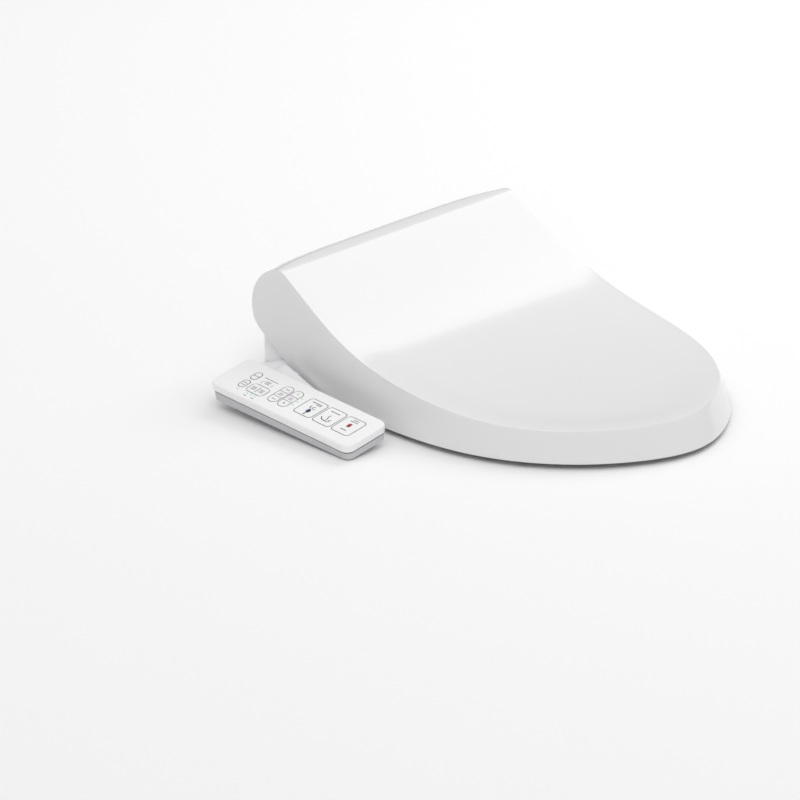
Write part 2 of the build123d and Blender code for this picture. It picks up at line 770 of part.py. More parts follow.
fan_at = (-60.0, 44.0)
with BuildPart() as deodoriser_fan:
    with BuildSketch(Plane.XY.offset(heater_low)):
        with Locations(fan_at):
            RectangleRounded(40, 40, 4)
    extrude(amount=12)
    with BuildSketch(Plane.XY.offset(heater_low + 3)):
        with Locations(fan_at):
            Circle(17.5)
    extrude(amount=12, mode=Mode.SUBTRACT)
    with BuildSketch(Plane.XY.offset(heater_low + 3)):
        with Locations(fan_at):
            Circle(7)
    extrude(amount=7)
deodoriser_fan.part.label = "deodoriser_fan"
export_step(deodoriser_fan.part, "parts/deodoriser_fan.step")

with BuildPart() as deodoriser_cartridge:
    with BuildSketch(Plane.XY.offset(heater_low + 12.2)):
        with Locations(fan_at):
            RectangleRounded(38, 34, 4)
    extrude(amount=14)
    with BuildSketch(Plane.XY.offset(heater_low + 23)):
        with Locations(fan_at):
            with GridLocations(6, 1, 5, 1):
                SlotOverall(24, 2.6, rotation=90)
    extrude(amount=8, mode=Mode.SUBTRACT)
deodoriser_cartridge.part.label = "deodoriser_cartridge"
export_step(deodoriser_cartridge.part, "parts/deodoriser_cartridge.step")

with BuildPart() as release_button:
    with BuildSketch(Plane.YZ.offset(unit_half_w - 9)):
        with Locations((release_y, release_z)):
            RectangleRounded(release_l, release_h, 2.7)
    extrude(amount=9 + release_travel + 0.5)
    fillet(edges().group_by(Axis.X)[-1], radius=1.0)
release_button.part.label = "release_button"
export_step(release_button.part, "parts/release_button.step")

# ---------------------------------------------------------------- side arm and control panel
arm_top = 22.0
arm_low = 1.0
arm_reach = -246.0
arm_y = 37.0                  # middle of the arm
arm_w = 68.0
foot_inner = -208.5           # low foot below the panel, clear of the lid
foot_y = -40.0
foot_l = 120.0
foot_h = 6.0
panel = Plane(Location(panel_at, (panel_pitch, -panel_roll, 0)))
with BuildPart() as side_arm:
    with BuildSketch(Plane.XY.offset(arm_low)):
        with Locations(((-unit_half_w + arm_reach) / 2, arm_y)):
            Rectangle(-unit_half_w - arm_reach, arm_w)
    extrude(amount=arm_top - arm_low)
    fillet(edges().filter_by(Axis.X).group_by(Axis.Z)[-1].sort_by(Axis.Y)[-1], radius=3)
    # foot of the arm below the panel, outside the lid
    with BuildSketch(Plane.XY.offset(arm_low)):
        with Locations(((foot_inner + arm_reach) / 2, foot_y)):
            Rectangle(foot_inner - arm_reach, foot_l)
    extrude(amount=foot_h)
    # space for the panel's leaning base
    with BuildSketch(panel.offset(-cover_h - gasket_h - 0.2)):
        Rectangle(panel_w - 3.4, panel_l + 10)
    extrude(amount=-base_h_back - 1.0, mode=Mode.SUBTRACT)
    with BuildSketch(panel.offset(-cover_h - gasket_h - 0.3)):
        Rectangle(panel_w + 0.6, panel_l + 10)
    extrude(amount=cover_h * 2, mode=Mode.SUBTRACT)
side_arm.part.label = "side_arm"
export_step(side_arm.part, "parts/side_arm.step")


def on_panel(p, q):
    """Local position on the panel: p from its rear end, q from its outer edge."""
    return (q - panel_w / 2, panel_l / 2 - p)


small = (16.2, 10.4)          # key sizes across and along the panel
paired = (16.0, 12.2)
side_key = (11.0, 12.6)
large = (33.4, 28.2)
middle_q = panel_w / 2
side_q = (20.7, 43.5)
keys = {
    "key_power": (36.2, 22.4, small, 5.1),
    "key_saver": (36.2, 41.9, small, 5.1),
    "key_water_temperature": (52.3, 22.4, paired, 2.6),
    "key_seat_temperature": (64.7, 22.4, paired, 2.6),
    "key_position_back": (85.8, side_q[0], side_key, 5.0),
    "key_position_front": (85.8, side_q[1], side_key, 5.0),
    "key_pressure_up": (101.7, side_q[0], side_key, 5.0),
    "key_pressure_down": (101.7, side_q[1], side_key, 5.0),
    "key_rear_wash": (133.9, middle_q, large, 5.0),
    "key_front_wash": (164.0, middle_q, large, 5.0),
    "key_stop": (194.1, middle_q, large, 5.0),
}
leds = [(37.6, 10.3), (53.6, 10.3), (59.6, 10.3), (65.6, 10.3), (111.8, 25.4), (111.8, 32.9), (111.8, 40.4)]
screw_at = [(14, 14), (14, 51), (211, 14), (211, 51)]
key_gap = 0.25                # clearance around a key
key_proud = 0.15              # height of a key above the cover
led_r = 1.05
cover_t = 2.0                 # thickness of the cover's top
base_floor_t = 3.2

for name, (p, q, (across, lengthwise), corner) in keys.items():
    with BuildPart() as key:
        with BuildSketch(panel.offset(-key_t)):
            with Locations(on_panel(p, q)):
                RectangleRounded(across, lengthwise, corner)
        extrude(amount=key_t + key_proud)
    key.part.label = name
    export_step(key.part, f"parts/{name}.step")

with BuildPart() as panel_cover:
    with BuildSketch(panel.offset(-cover_h)):
        RectangleRounded(panel_w, panel_l, panel_corner)
    extrude(amount=cover_h)
    top_edges = faces().sort_by(Axis.Z)[-1].edges()
    fillet(top_edges, radius=2.4)
    with BuildSketch(panel.offset(-cover_h)):
        RectangleRounded(panel_w - 2 * wall, panel_l - 2 * wall, panel_corner - wall)
    extrude(amount=cover_h - cover_t, mode=Mode.SUBTRACT)
    with BuildSketch(panel.offset(-cover_h)):
        for p, q, (across, lengthwise), corner in keys.values():
            with Locations(on_panel(p, q)):
                RectangleRounded(across + 2 * key_gap, lengthwise + 2 * key_gap, corner + key_gap)
        with Locations([on_panel(p, q) for p, q in leds]):
            Circle(led_r + 0.15)
    extrude(amount=cover_h + 1, mode=Mode.SUBTRACT)
panel_cover.part.label = "panel_cover"
export_step(panel_cover.part, "parts/panel_cover.step")

with BuildPart() as panel_gasket:
    with BuildSketch(panel.offset(-cover_h - gasket_h)):
        RectangleRounded(panel_w - 3, panel_l - 3, panel_corner - 1.5)
        RectangleRounded(panel_w - 8, panel_l - 8, panel_corner - 4, mode=Mode.SUBTRACT)
    extrude(amount=gasket_h)
panel_gasket.part.label = "panel_gasket"
export_step(panel_gasket.part, "parts/panel_gasket.step")

base_inset = 1.6
wedge = degrees(atan2(base_h_back - base_h_front, panel_l))
with BuildPart() as panel_base:
    with BuildSketch(panel.offset(-cover_h - gasket_h)):
        RectangleRounded(panel_w - 2 * base_inset, panel_l - 2 * base_inset, panel_corner - base_inset)
    extrude(amount=-base_h_back - 3, taper=4)
    floor_middle = -cover_h - gasket_h - (base_h_back + base_h_front) / 2
    split(bisect_by=Plane(panel.offset(floor_middle).location * Location((0, 0, 0), (-wedge, 0, 0))))
    with BuildSketch(panel.offset(-cover_h - gasket_h)):
        RectangleRounded(panel_w - 9, panel_l - 9, panel_corner - 4.5)
    extrude(amount=-base_h_front + base_floor_t, mode=Mode.SUBTRACT)
    with BuildSketch(panel.offset(-cover_h - gasket_h)):
        with Locations([on_panel(p, q) for p, q in screw_at]):
            Circle(1.6)
    extrude(amount=-20, mode=Mode.SUBTRACT)
panel_base.part.label = "panel_base"
export_step(panel_base.part, "parts/panel_base.step")

board_drop = 6.2              # underside of the panel's board below the cover's top
board_t = 1.6
switch_h = board_drop - board_t - key_t - key_travel - key_proud
with BuildPart() as panel_board:
    with BuildSketch(panel.offset(-board_drop)):
        with Locations(on_panel(108, panel_w / 2)):
            RectangleRounded(panel_w - 10, panel_l - 30, 3)
    extrude(amount=board_t)
panel_board.part.label = "panel_board"
export_step(panel_board.part, "parts/panel_board.step")

with BuildPart() as key_switches:
    with BuildSketch(panel.offset(-board_drop + board_t)):
        with Locations([on_panel(p, q) for p, q, size, corner in keys.values()]):
            RectangleRounded(6, 6, 0.8)
    extrude(amount=switch_h - 0.7)
    with BuildSketch(panel.offset(-board_drop + board_t)):
        with Locations([on_panel(p, q) for p, q, size, corner in keys.values()]):
            Circle(1.6)
    extrude(amount=switch_h)
key_switches.part.label = "key_switches"
export_step(key_switches.part, "parts/key_switches.step")

with BuildPart() as led_lenses:
    with BuildSketch(panel.offset(-board_drop + board_t)):
        with Locations([on_panel(p, q) for p, q in leds]):
            Circle(led_r)
    extrude(amount=board_drop - board_t + 0.1)
led_lenses.part.label = "led_lenses"
export_step(led_lenses.part, "parts/led_lenses.step")

screw_low = -cover_h - gasket_h - base_h_front + base_floor_t
with BuildPart() as panel_screws:
    with BuildSketch(panel.offset(screw_low)):
        with Locations([on_panel(p, q) for p, q in screw_at]):
            Circle(2.9)
    extrude(amount=1.8)
    with BuildSketch(panel.offset(screw_low - 2.5)):
        with Locations([on_panel(p, q) for p, q in screw_at]):
            Circle(1.5)
    extrude(amount=2.5)
panel_screws.part.label = "panel_screws"
export_step(panel_screws.part, "parts/panel_screws.step")

# screws that hold the rear cover to the tray, below its floor
with BuildPart() as housing_screws:
    with BuildSketch(Plane.XY.offset(unit_low)):
        with Locations(housing_screw_at):
            Circle(3.2)
    extrude(amount=-1.6)
    with BuildSketch(Plane.XY.offset(unit_low)):
        with Locations(housing_screw_at):
            Circle(screw_r)
    extrude(amount=14)
housing_screws.part.label = "housing_screws"
export_step(housing_screws.part, "parts/housing_screws.step")
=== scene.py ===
"""Looks of the electric bidet seat: glossy lid, seat ring, side panel and its printed keys."""

import math

import bmesh
import bpy
import numpy as np
from mathutils import Euler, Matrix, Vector


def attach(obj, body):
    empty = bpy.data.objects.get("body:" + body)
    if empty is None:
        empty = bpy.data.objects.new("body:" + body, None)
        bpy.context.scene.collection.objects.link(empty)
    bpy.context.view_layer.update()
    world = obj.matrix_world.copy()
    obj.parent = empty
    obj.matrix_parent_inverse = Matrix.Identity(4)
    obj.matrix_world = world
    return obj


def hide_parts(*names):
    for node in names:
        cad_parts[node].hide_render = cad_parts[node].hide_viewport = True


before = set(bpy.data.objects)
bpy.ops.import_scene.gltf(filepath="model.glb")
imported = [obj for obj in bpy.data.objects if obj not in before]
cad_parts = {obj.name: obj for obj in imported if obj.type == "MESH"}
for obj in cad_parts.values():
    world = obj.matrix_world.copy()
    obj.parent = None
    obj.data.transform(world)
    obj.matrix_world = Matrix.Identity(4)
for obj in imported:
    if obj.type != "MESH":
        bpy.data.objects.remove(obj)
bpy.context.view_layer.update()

# all sizes below are millimetres in the frame's axes
MM = 0.001
HINGE = (34.0, 94.5)                  # y, z of the hinge line
PIN_HOLE_R = 5.05
ROLL_R = 49.5                         # rounded rear ends of the lid
ROLL_END = 80.0                       # degrees at which the lid's top ends
ROLL_HALF_W = 190.2
CROWN = 12.5                          # how far the rear edge bulges back in its middle
FLARE_TOP = 150.0                     # height of the upper outline that the side wall aims at
LID_BACK = 84.0
LID_WALL = 2.8
LID_EDGE_R = 1.9


# ------------------------------------------------------------------ mesh helpers
def make_object(name, points_mm, faces, sharp=35):
    """A smooth-shaded mesh object from points in millimetres."""
    mesh = bpy.data.meshes.new(name)
    mesh.from_pydata([tuple(MM * c for c in p) for p in points_mm], [], faces)
    obj = bpy.data.objects.new(name, mesh)
    bpy.context.scene.collection.objects.link(obj)
    tidy_mesh(obj, sharp)
    return obj


def tidy_mesh(obj, sharp):
    """Welds doubled points, points the faces outwards and keeps edges over an angle crisp."""
    work = bmesh.new()
    work.from_mesh(obj.data)
    bmesh.ops.remove_doubles(work, verts=work.verts, dist=2e-6)
    bmesh.ops.dissolve_degenerate(work, edges=work.edges, dist=1e-6)
    bmesh.ops.recalc_face_normals(work, faces=work.faces)
    work.to_mesh(obj.data)
    work.free()
    shade(obj, sharp)


def shade(obj, sharp):
    """Smooth shading, broken at edges sharper than an angle in degrees."""
    for polygon in obj.data.polygons:
        polygon.use_smooth = True
    obj.data.set_sharp_from_angle(angle=math.radians(sharp))


def soften(obj, radius, segments, angle=30):
    """Adds a bevel of a radius in millimetres to the edges sharper than an angle in degrees."""
    rounded_edges = obj.modifiers.new("rounded", "BEVEL")
    rounded_edges.width = radius * MM
    rounded_edges.segments = segments
    rounded_edges.limit_method = "ANGLE"
    rounded_edges.angle_limit = math.radians(angle)


def thicken(obj, wall):
    """Adds a wall of a thickness in millimetres behind a skin."""
    thick = obj.modifiers.new("thick", "SOLIDIFY")
    thick.thickness = wall * MM
    thick.offset = -1
    return thick


def face_up(obj):
    """Turns a skin over if most of it faces down."""
    if sum(p.normal.z for p in obj.data.polygons) < 0:
        obj.data.flip_normals()


def apply_modifiers(obj):
    """Bakes an object's modifiers into its mesh."""
    graph = bpy.context.evaluated_depsgraph_get()
    baked = bpy.data.meshes.new_from_object(obj.evaluated_get(graph))
    obj.modifiers.clear()
    obj.data = baked


def join(name, *objects):
    """Joins mesh objects into the first one."""
    work = bmesh.new()
    for obj in objects:
        work.from_mesh(obj.data)
    work.to_mesh(objects[0].data)
    work.free()
    for obj in objects[1:]:
        bpy.data.objects.remove(obj)
    objects[0].name = name
    return objects[0]


def lengths_along(points):
    """Distance of each point along a chain of points."""
    steps = np.linalg.norm(np.diff(np.array(points, float), axis=0), axis=1)
    return np.concatenate([[0], np.cumsum(steps)])


def clamped_spline(knots, points, start, end):
    """Cubic spline through points at given knots, with given end derivatives."""
    knots = np.asarray(knots, float)
    points = np.asarray(points, float)
    n = len(knots)
    step = np.diff(knots)
    slope = np.diff(points, axis=0) / step[:, None]
    matrix = np.zeros((n, n))
    right = np.zeros_like(points)
    matrix[0, 0] = matrix[-1, -1] = 1
    right[0], right[-1] = start, end
    for i in range(1, n - 1):
        matrix[i, i - 1] = step[i]
        matrix[i, i] = 2 * (step[i - 1] + step[i])
        matrix[i, i + 1] = step[i - 1]
        right[i] = 3 * (step[i] * slope[i - 1] + step[i - 1] * slope[i])
    rate = np.linalg.solve(matrix, right)

    def evaluate(at):
        at = np.clip(np.asarray(at, float), knots[0], knots[-1])
        i = np.clip(np.searchsorted(knots, at, side="right") - 1, 0, n - 2)
        h = step[i][..., None]
        t = ((at - knots[i]) / step[i])[..., None]
        return (
            (1 + 2 * t) * (1 - t) ** 2 * points[i]
            + t * (1 - t) ** 2 * h * rate[i]
            + t * t * (3 - 2 * t) * points[i + 1]
            + t * t * (t - 1) * h * rate[i + 1]
        )

    return evaluate


def smoothstep(value, low, high):
    """Soft step from 0 at low to 1 at high."""
    t = np.clip((np.asarray(value, float) - low) / (high - low), 0, 1)
    return t * t * (3 - 2 * t)


def around_hinge(radius, degrees):
    """Point (y, z) on a circle about the hinge line."""
    turn = math.radians(degrees)
    return HINGE[0] + radius * math.cos(turn), HINGE[1] + radius * math.sin(turn)


# ------------------------------------------------------------------ the lid's shape
# half outlines (x, y) from the back to the front tip: at the rim, and at FLARE_TOP above it
LID_FOOT = [(195.1, 84), (195.1, 35), (202.9, -50), (206, -138), (202.5, -225), (173.8, -313),
            (127.6, -374), (75, -414), (0, -437.9)]
LID_HEAD = [(190.2, 84), (190.2, 35), (189.3, -50), (175.7, -138), (151.1, -212), (126, -277),
            (88, -326), (46, -355), (0, -366)]
# heights (y, z) of the lid's top and of its lower edge, from the front to the back
SWOOP = [(-440, 43.6), (-375, 41.2), (-334, 40.8), (-248, 44.6), (-167, 54.6), (-86, 76.0),
         (-19, 109.2), (37, 143.9)]
LOWER_EDGE = [(-440, 7.4), (-150, 7.4), (-80, 8.4), (-26, 14.9), (3, 24.2), (38, 43.4),
              (70.4, 64.6), (78.9, 73.6)]
TIP_SLOPE, CREST_SLOPE = -0.06, 0.61  # slopes of the top at the front tip and at the crest
CREST_BLEND = 1.3                     # softness of the crest
DISH_DEPTH = 1.7

foot_knots = lengths_along(LID_FOOT)
lid_length = foot_knots[-1]
foot_line = clamped_spline(foot_knots, LID_FOOT, (0, -1), (-1, 0))
head_line = clamped_spline(foot_knots, LID_HEAD, (0, -1), (-0.62, 0))
swoop_y = [y for y, z in SWOOP]
swoop_line = clamped_spline(swoop_y, [[z] for y, z in SWOOP], [TIP_SLOPE], [CREST_SLOPE])


def roll_height(y, sign=1):
    """Height of the rounded rear end, above the hinge line or below it."""
    return HINGE[1] + sign * np.sqrt(np.maximum(ROLL_R**2 - (np.asarray(y, float) - HINGE[0]) ** 2, 0))


def lid_top(y):
    """Height of the lid's top along its length: the concave swoop, rounded over the crest."""
    y = np.asarray(y, float)
    swoop = swoop_line(np.minimum(y, swoop_y[-1]))[..., 0] + CREST_SLOPE * np.maximum(y - swoop_y[-1], 0)
    far_above, roll_start = 1e3, 15
    roll = np.where(y > roll_start, roll_height(y), far_above)
    low = np.minimum(swoop, roll)
    over_swoop, over_roll = swoop - low, np.minimum(roll - low, 200)
    return low - CREST_BLEND * np.log(np.exp(-over_swoop / CREST_BLEND) + np.exp(-over_roll / CREST_BLEND))


def lid_low(y):
    """Height of the lid's lower edge along its length."""
    y = np.asarray(y, float)
    edge_y, edge_z = np.array(LOWER_EDGE).T
    soft_end = 72
    edge = np.interp(y, edge_y, edge_z)
    for reach in (6.0, 12.0):
        nearby = [np.clip(y + reach * k, edge_y[0], edge_y[-1]) for k in (-1, -0.5, 0, 0.5, 1)]
        around = [np.interp(at, edge_y, edge_z) for at in nearby]
        edge = np.where(y < soft_end, (edge + np.mean(around, axis=0)) / 2, edge)
    return np.where(y > edge_y[-1], roll_height(y, -1), edge)


def wall_point(u, z):
    """Point of the lid's flared side wall at a distance u along its foot and a height z."""
    k = (np.asarray(z, float) / FLARE_TOP)[..., None]
    return foot_line(u) * (1 - k) + head_line(u) * k


def on_wall(u, height_of):
    """Where the side wall meets a height that depends on y."""
    first_guess, rounds = 60.0, 60
    z = np.full(np.shape(u), first_guess)
    for _ in range(rounds):
        z = 0.5 * z + 0.5 * height_of(wall_point(u, z)[..., 1])
    xy = wall_point(u, z)
    return np.stack([xy[..., 0], xy[..., 1], z], axis=-1)


def crown(x):
    """The rear edge bulges back in the middle of the lid and fades out at its ends."""
    return CROWN * np.maximum(1 - (np.abs(x) / ROLL_HALF_W) ** 5, 0)


def dished(y, inside):
    """How far the lid's top sinks inside its raised border."""
    return DISH_DEPTH * smoothstep(inside, 10, 52) * smoothstep(-np.asarray(y, float), 20, 190)


def lid_skin():
    """The lid's outer skin: flared side walls and a top that meets them at a crease."""
    # stations are distances along the lid's foot, close together over the crest
    roll_y = around_hinge(ROLL_R, ROLL_END)[0]
    rear = [LID_BACK - around_hinge(ROLL_R, a)[0] for a in np.linspace(0, ROLL_END, 15)]
    crest_part = list(np.arange(rear[-1] + 0.5, 50, 0.55)) + list(np.arange(50, 62, 1.8))
    front_part = list(np.linspace(63, lid_length, 112))
    stations = np.array(rear + crest_part + front_part)
    first_top = len(rear) - 1
    crease = on_wall(stations, lid_top)
    bottom = on_wall(stations, lid_low)
    crease[: first_top + 1, 1] = LID_BACK - stations[: first_top + 1]
    crease[: first_top + 1, 2] = roll_height(crease[: first_top + 1, 1])
    points, faces, index = [], [], {}

    def vertex(key, point):
        if key not in index:
            index[key] = len(points)
            points.append(tuple(point))
        return index[key]

    last = len(stations) - 1
    fractions = np.linspace(0, 1, 7)

    def wall(side, i, j):
        z = crease[i, 2] + (bottom[i, 2] - crease[i, 2]) * fractions[j]
        x, y = wall_point(stations[i], z)
        if i <= first_top:
            y = crease[i, 1]
        if i == 0:
            z = HINGE[1]
        key = ("wall", 0 if i == last else side, i, 0 if i == 0 else j)
        return vertex(key, (side * x if i < last else 0, y, z))

    for side in (-1, 1):
        for i in range(last):
            for j in range(len(fractions) - 1):
                faces.append([wall(side, i, j), wall(side, i + 1, j),
                              wall(side, i + 1, j + 1), wall(side, i, j + 1)])

    # the top: rings that run inside the crease, then rows across the middle
    plan = crease[:, :2]
    along = np.gradient(plan, axis=0)
    inward = np.stack([along[:, 1], -along[:, 0]], axis=1)
    inward /= np.linalg.norm(inward, axis=1)[:, None]
    inward *= np.sign(-inward[:, :1] * (plan[:, :1] > 1) + (plan[:, :1] <= 1))
    inward[-1] = (0, 1)
    inward[:, 1] *= smoothstep(-plan[:, 1], 10, 90)
    inward /= np.linalg.norm(inward, axis=1)[:, None]
    rings = [0, 7, 13, 19, 26, 33, 41, 50, 60]
    columns = 22

    def top(side, i, ring):
        if ring == 0:
            return wall(side, i, 0)
        x, y = plan[i] + inward[i] * rings[ring]
        z = lid_top(y) - dished(y, rings[ring])
        return vertex(("top", 0 if i == last else side, i, ring), (side * x if i < last else 0, y, z))

    def middle(i, k):
        if k == 0:
            return top(-1, i, len(rings) - 1)
        if k == columns:
            return top(1, i, len(rings) - 1)
        if i == last:
            return top(1, last, len(rings) - 1)
        x, y = plan[i] + inward[i] * rings[-1]
        return vertex(("middle", i, k), (x * (2 * k / columns - 1), y, lid_top(y) - dished(y, rings[-1])))

    for i in range(first_top, last):
        for side in (-1, 1):
            for ring in range(len(rings) - 1):
                faces.append([top(side, i, ring), top(side, i + 1, ring),
                              top(side, i + 1, ring + 1), top(side, i, ring + 1)])
        for k in range(columns):
            faces.append([middle(i, k), middle(i + 1, k), middle(i + 1, k + 1), middle(i, k + 1)])
    for key, at in index.items():
        x, y, z = points[at]
        if key[0] != "wall":
            points[at] = (x, y + crown(x) * smoothstep(y, HINGE[0] + 1.5, roll_y), z)
    faces = [list(dict.fromkeys(face)) for face in faces]
    faces = [face for face in faces if len(face) > 2]
    skin = make_object("lid_skin", points, faces, sharp=180)
    face_up(skin)
    return skin


def ring_tube(name, centre, outer, inner, low, high):
    """A short tube along X about a point (y, z), between x = low and x = high."""
    points, faces, steps = [], [], 48
    for k in range(steps):
        angle = 2 * math.pi * k / steps
        for radius, x in ((outer, low), (outer, high), (inner, high), (inner, low)):
            points.append((x, centre[0] + radius * math.cos(angle), centre[1] + radius * math.sin(angle)))
        a, b = 4 * k, 4 * ((k + 1) % steps)
        faces += [[a + j, b + j, b + (j + 1) % 4, a + (j + 1) % 4] for j in range(4)]
    return make_object(name, points, faces)


def build_lid():
    """The lid's shell with the bosses that hold it on the hinge pins."""
    boss_r, boss_low, boss_high = 11, 186.8, 189.6
    lid = lid_skin()
    thicken(lid, LID_WALL).use_even_offset = True
    soften(lid, LID_EDGE_R, 4, 38)
    apply_modifiers(lid)
    shade(lid, 60)
    bosses = [ring_tube("boss", HINGE, boss_r, PIN_HOLE_R, *sorted((side * boss_low, side * boss_high)))
              for side in (-1, 1)]
    lid = join("lid_shell_visual", lid, *bosses)
    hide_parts("lid_shell")
    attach(lid, "lid")
    return lid


lid = build_lid()


def build_strip():
    """The strip behind the lid's crest, a hair's breadth from it and bulging with it."""
    top_angle, low_angle, sunk, depth = 78.1, 64, 0.35, 3.2
    half_flat, half_w = 186.6, 187.2
    outer = [around_hinge(ROLL_R - sunk, a) for a in np.linspace(top_angle, low_angle, 9)]
    inner = [around_hinge(ROLL_R - depth, a) for a in np.linspace(low_angle, top_angle, 5)]
    profile = outer + inner
    across = np.concatenate([[-half_w], np.linspace(-half_flat, half_flat, 49), [half_w]])
    points = [(x, y + crown(x), z) for x in across for y, z in profile]
    n = len(profile)
    faces = [[i * n + k, i * n + (k + 1) % n, (i + 1) * n + (k + 1) % n, (i + 1) * n + k]
             for i in range(len(across) - 1) for k in range(n)]
    faces += [list(range(n)), [len(points) - 1 - k for k in range(n)]]
    strip = make_object("lid_rear_strip_visual", points, faces, sharp=40)
    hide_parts("lid_rear_strip")
    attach(strip, "lid")
    return strip


strip = build_strip()


# ------------------------------------------------------------------ seat ring
RING_HALF_W, RING_BACK = 186.5, -74.0
# half outline (x, y) from the bridge's corner to the front tip, and heights (y, z) of the ring's top
RING_SIDE = [(RING_HALF_W, RING_BACK), (RING_HALF_W, -84), (192.6, -138), (185.3, -220.5), (157.8, -300.7),
             (114.6, -357.3), (64.6, -395.8), (0, -415)]
RING_TOP = [(-420, 27.5), (-330, 30.0), (-200, 31.5), (-140, 37.5), (-108, 48.0), (RING_BACK, 56.0)]
HOLE_HALF_W, HOLE_HALF_L, HOLE_MIDDLE = 104.0, 122.0, -230.0
CORNER_TURN = 32                      # direction in degrees in which the opening faces the bridge's corner
SPLIT_Z = 10.0                        # height at which the two shells meet
SPLIT_GAP = 0.35
RING_LOW = 5.5
RING_WALL = 2.6
RIM_INSET = 0.012                     # share of the ring's width by which the lower shell is set in
BRIDGE_LOW, BRIDGE_HALF = 37.0, 88.0
ARCH_FOOT, ARCH_HALF = 8.0, 84.0
EAR_R, EAR_INNER, EAR_T = 27.0, 181.4, 4.6

ring_knots = lengths_along(RING_SIDE)
ring_line = clamped_spline(ring_knots, RING_SIDE, (0, -1), (-1, 0))
ring_top_line = clamped_spline([y for y, z in RING_TOP], [[z] for y, z in RING_TOP], [0.0], [0.2])


def hole_point(degrees):
    """Point (x, y) on the edge of the ring's opening."""
    turn = math.radians(degrees)
    return HOLE_HALF_W * math.cos(turn), HOLE_MIDDLE + HOLE_HALF_L * math.sin(turn)


def ring_outline():
    """The ring's plan, once around, as pairs of outer and inner points."""
    bridge = np.linspace(0, 1, 22)[:-1]
    flank = np.linspace(0, 1, 70)
    pairs = [((RING_HALF_W * t, RING_BACK), hole_point(90 - (90 - CORNER_TURN) * t)) for t in bridge]
    pairs += [(tuple(ring_line(ring_knots[-1] * t)), hole_point(CORNER_TURN - (90 + CORNER_TURN) * t))
              for t in flank]
    return pairs + [((-x, y), (-hx, hy)) for (x, y), (hx, hy) in reversed(pairs[1:-1])]


def ring_height(x_share, y):
    """Height of the ring's top at a share of its width: round shoulders, fuller beside the bridge."""
    shoulder, corner_extra, dish = 5, 26, 1.4
    fullness = shoulder + (corner_extra * smoothstep(y, -150, -84) if x_share < 0.5 else 0)
    edge = max(1 - abs(2 * x_share - 1) ** fullness, 0) ** (1 / 2.6)
    peak = float(ring_top_line(np.clip(y, RING_TOP[0][0], RING_BACK))[0])
    peak += dish * (0.5 - x_share) * smoothstep(-y, 120, 200)
    return SPLIT_Z + (peak - SPLIT_Z) * edge


def build_upper_ring(loop):
    """The ring's crowned upper shell."""
    stations = np.concatenate([[0, 0.004, 0.015, 0.035, 0.065, 0.11], np.linspace(0.17, 0.83, 13),
                               [0.89, 0.935, 0.965, 0.985, 0.996, 1]])
    points, faces, count, rows = [], [], len(stations), len(loop)
    for (ox, oy), (ix, iy) in loop:
        for share in stations:
            x, y = ox + (ix - ox) * share, oy + (iy - oy) * share
            points.append((x, y, ring_height(share, y)))
    for i in range(rows):
        a, b = i * count, (i + 1) % rows * count
        faces += [[a + k, b + k, b + k + 1, a + k + 1] for k in range(count - 1)]
    skin = make_object("seat_skin", points, faces, sharp=180)
    face_up(skin)
    thicken(skin, RING_WALL)
    apply_modifiers(skin)
    return skin


def build_lower_ring(loop):
    """The flat shell that closes the ring from below."""
    plan = []
    for (ox, oy), (ix, iy) in loop:
        plan.append((ox + (ix - ox) * RIM_INSET, oy + (iy - oy) * RIM_INSET))
        plan.append((ix + (ox - ix) * RIM_INSET, iy + (oy - iy) * RIM_INSET))
    n, faces = len(plan), []
    for a in range(0, n, 2):
        b = (a + 2) % n
        faces += [[a, b, b + 1, a + 1], [n + a, n + a + 1, n + b + 1, n + b],
                  [a, n + a, n + b, b], [a + 1, b + 1, n + b + 1, n + a + 1]]
    points = [(x, y, z) for z in (RING_LOW, SPLIT_Z - SPLIT_GAP) for x, y in plan]
    return make_object("seat_lower_shell_visual", points, faces, sharp=35)


def cut_bridge(shell):
    """Clears the space below the bridge, where the wash nozzles pass: a box at the back, an arch in front."""
    half, low = BRIDGE_HALF, -5
    box = [(-half, low), (-half, BRIDGE_LOW), (half, BRIDGE_LOW), (half, low)]
    arch = [(x, ARCH_FOOT + (BRIDGE_LOW - ARCH_FOOT) * (1 - float(smoothstep(abs(x), 40, ARCH_HALF))))
            for x in np.linspace(-ARCH_HALF, ARCH_HALF, 57)]
    arch = [(-ARCH_HALF, low)] + arch + [(ARCH_HALF, low)]
    for profile, front, back in ((box, -112, -58), (arch, -168, -111)):
        n = len(profile)
        points = [(x, y, z) for y in (front, back) for x, z in profile]
        faces = [list(range(n)), [2 * n - 1 - k for k in range(n)]]
        faces += [[k, n + k, n + (k + 1) % n, (k + 1) % n] for k in range(n)]
        space = make_object("bridge_space", points, faces, sharp=30)
        notch = shell.modifiers.new("notch", "BOOLEAN")
        notch.object = space
        notch.operation = "DIFFERENCE"
        notch.solver = "EXACT"
        apply_modifiers(shell)
        bpy.data.objects.remove(space)


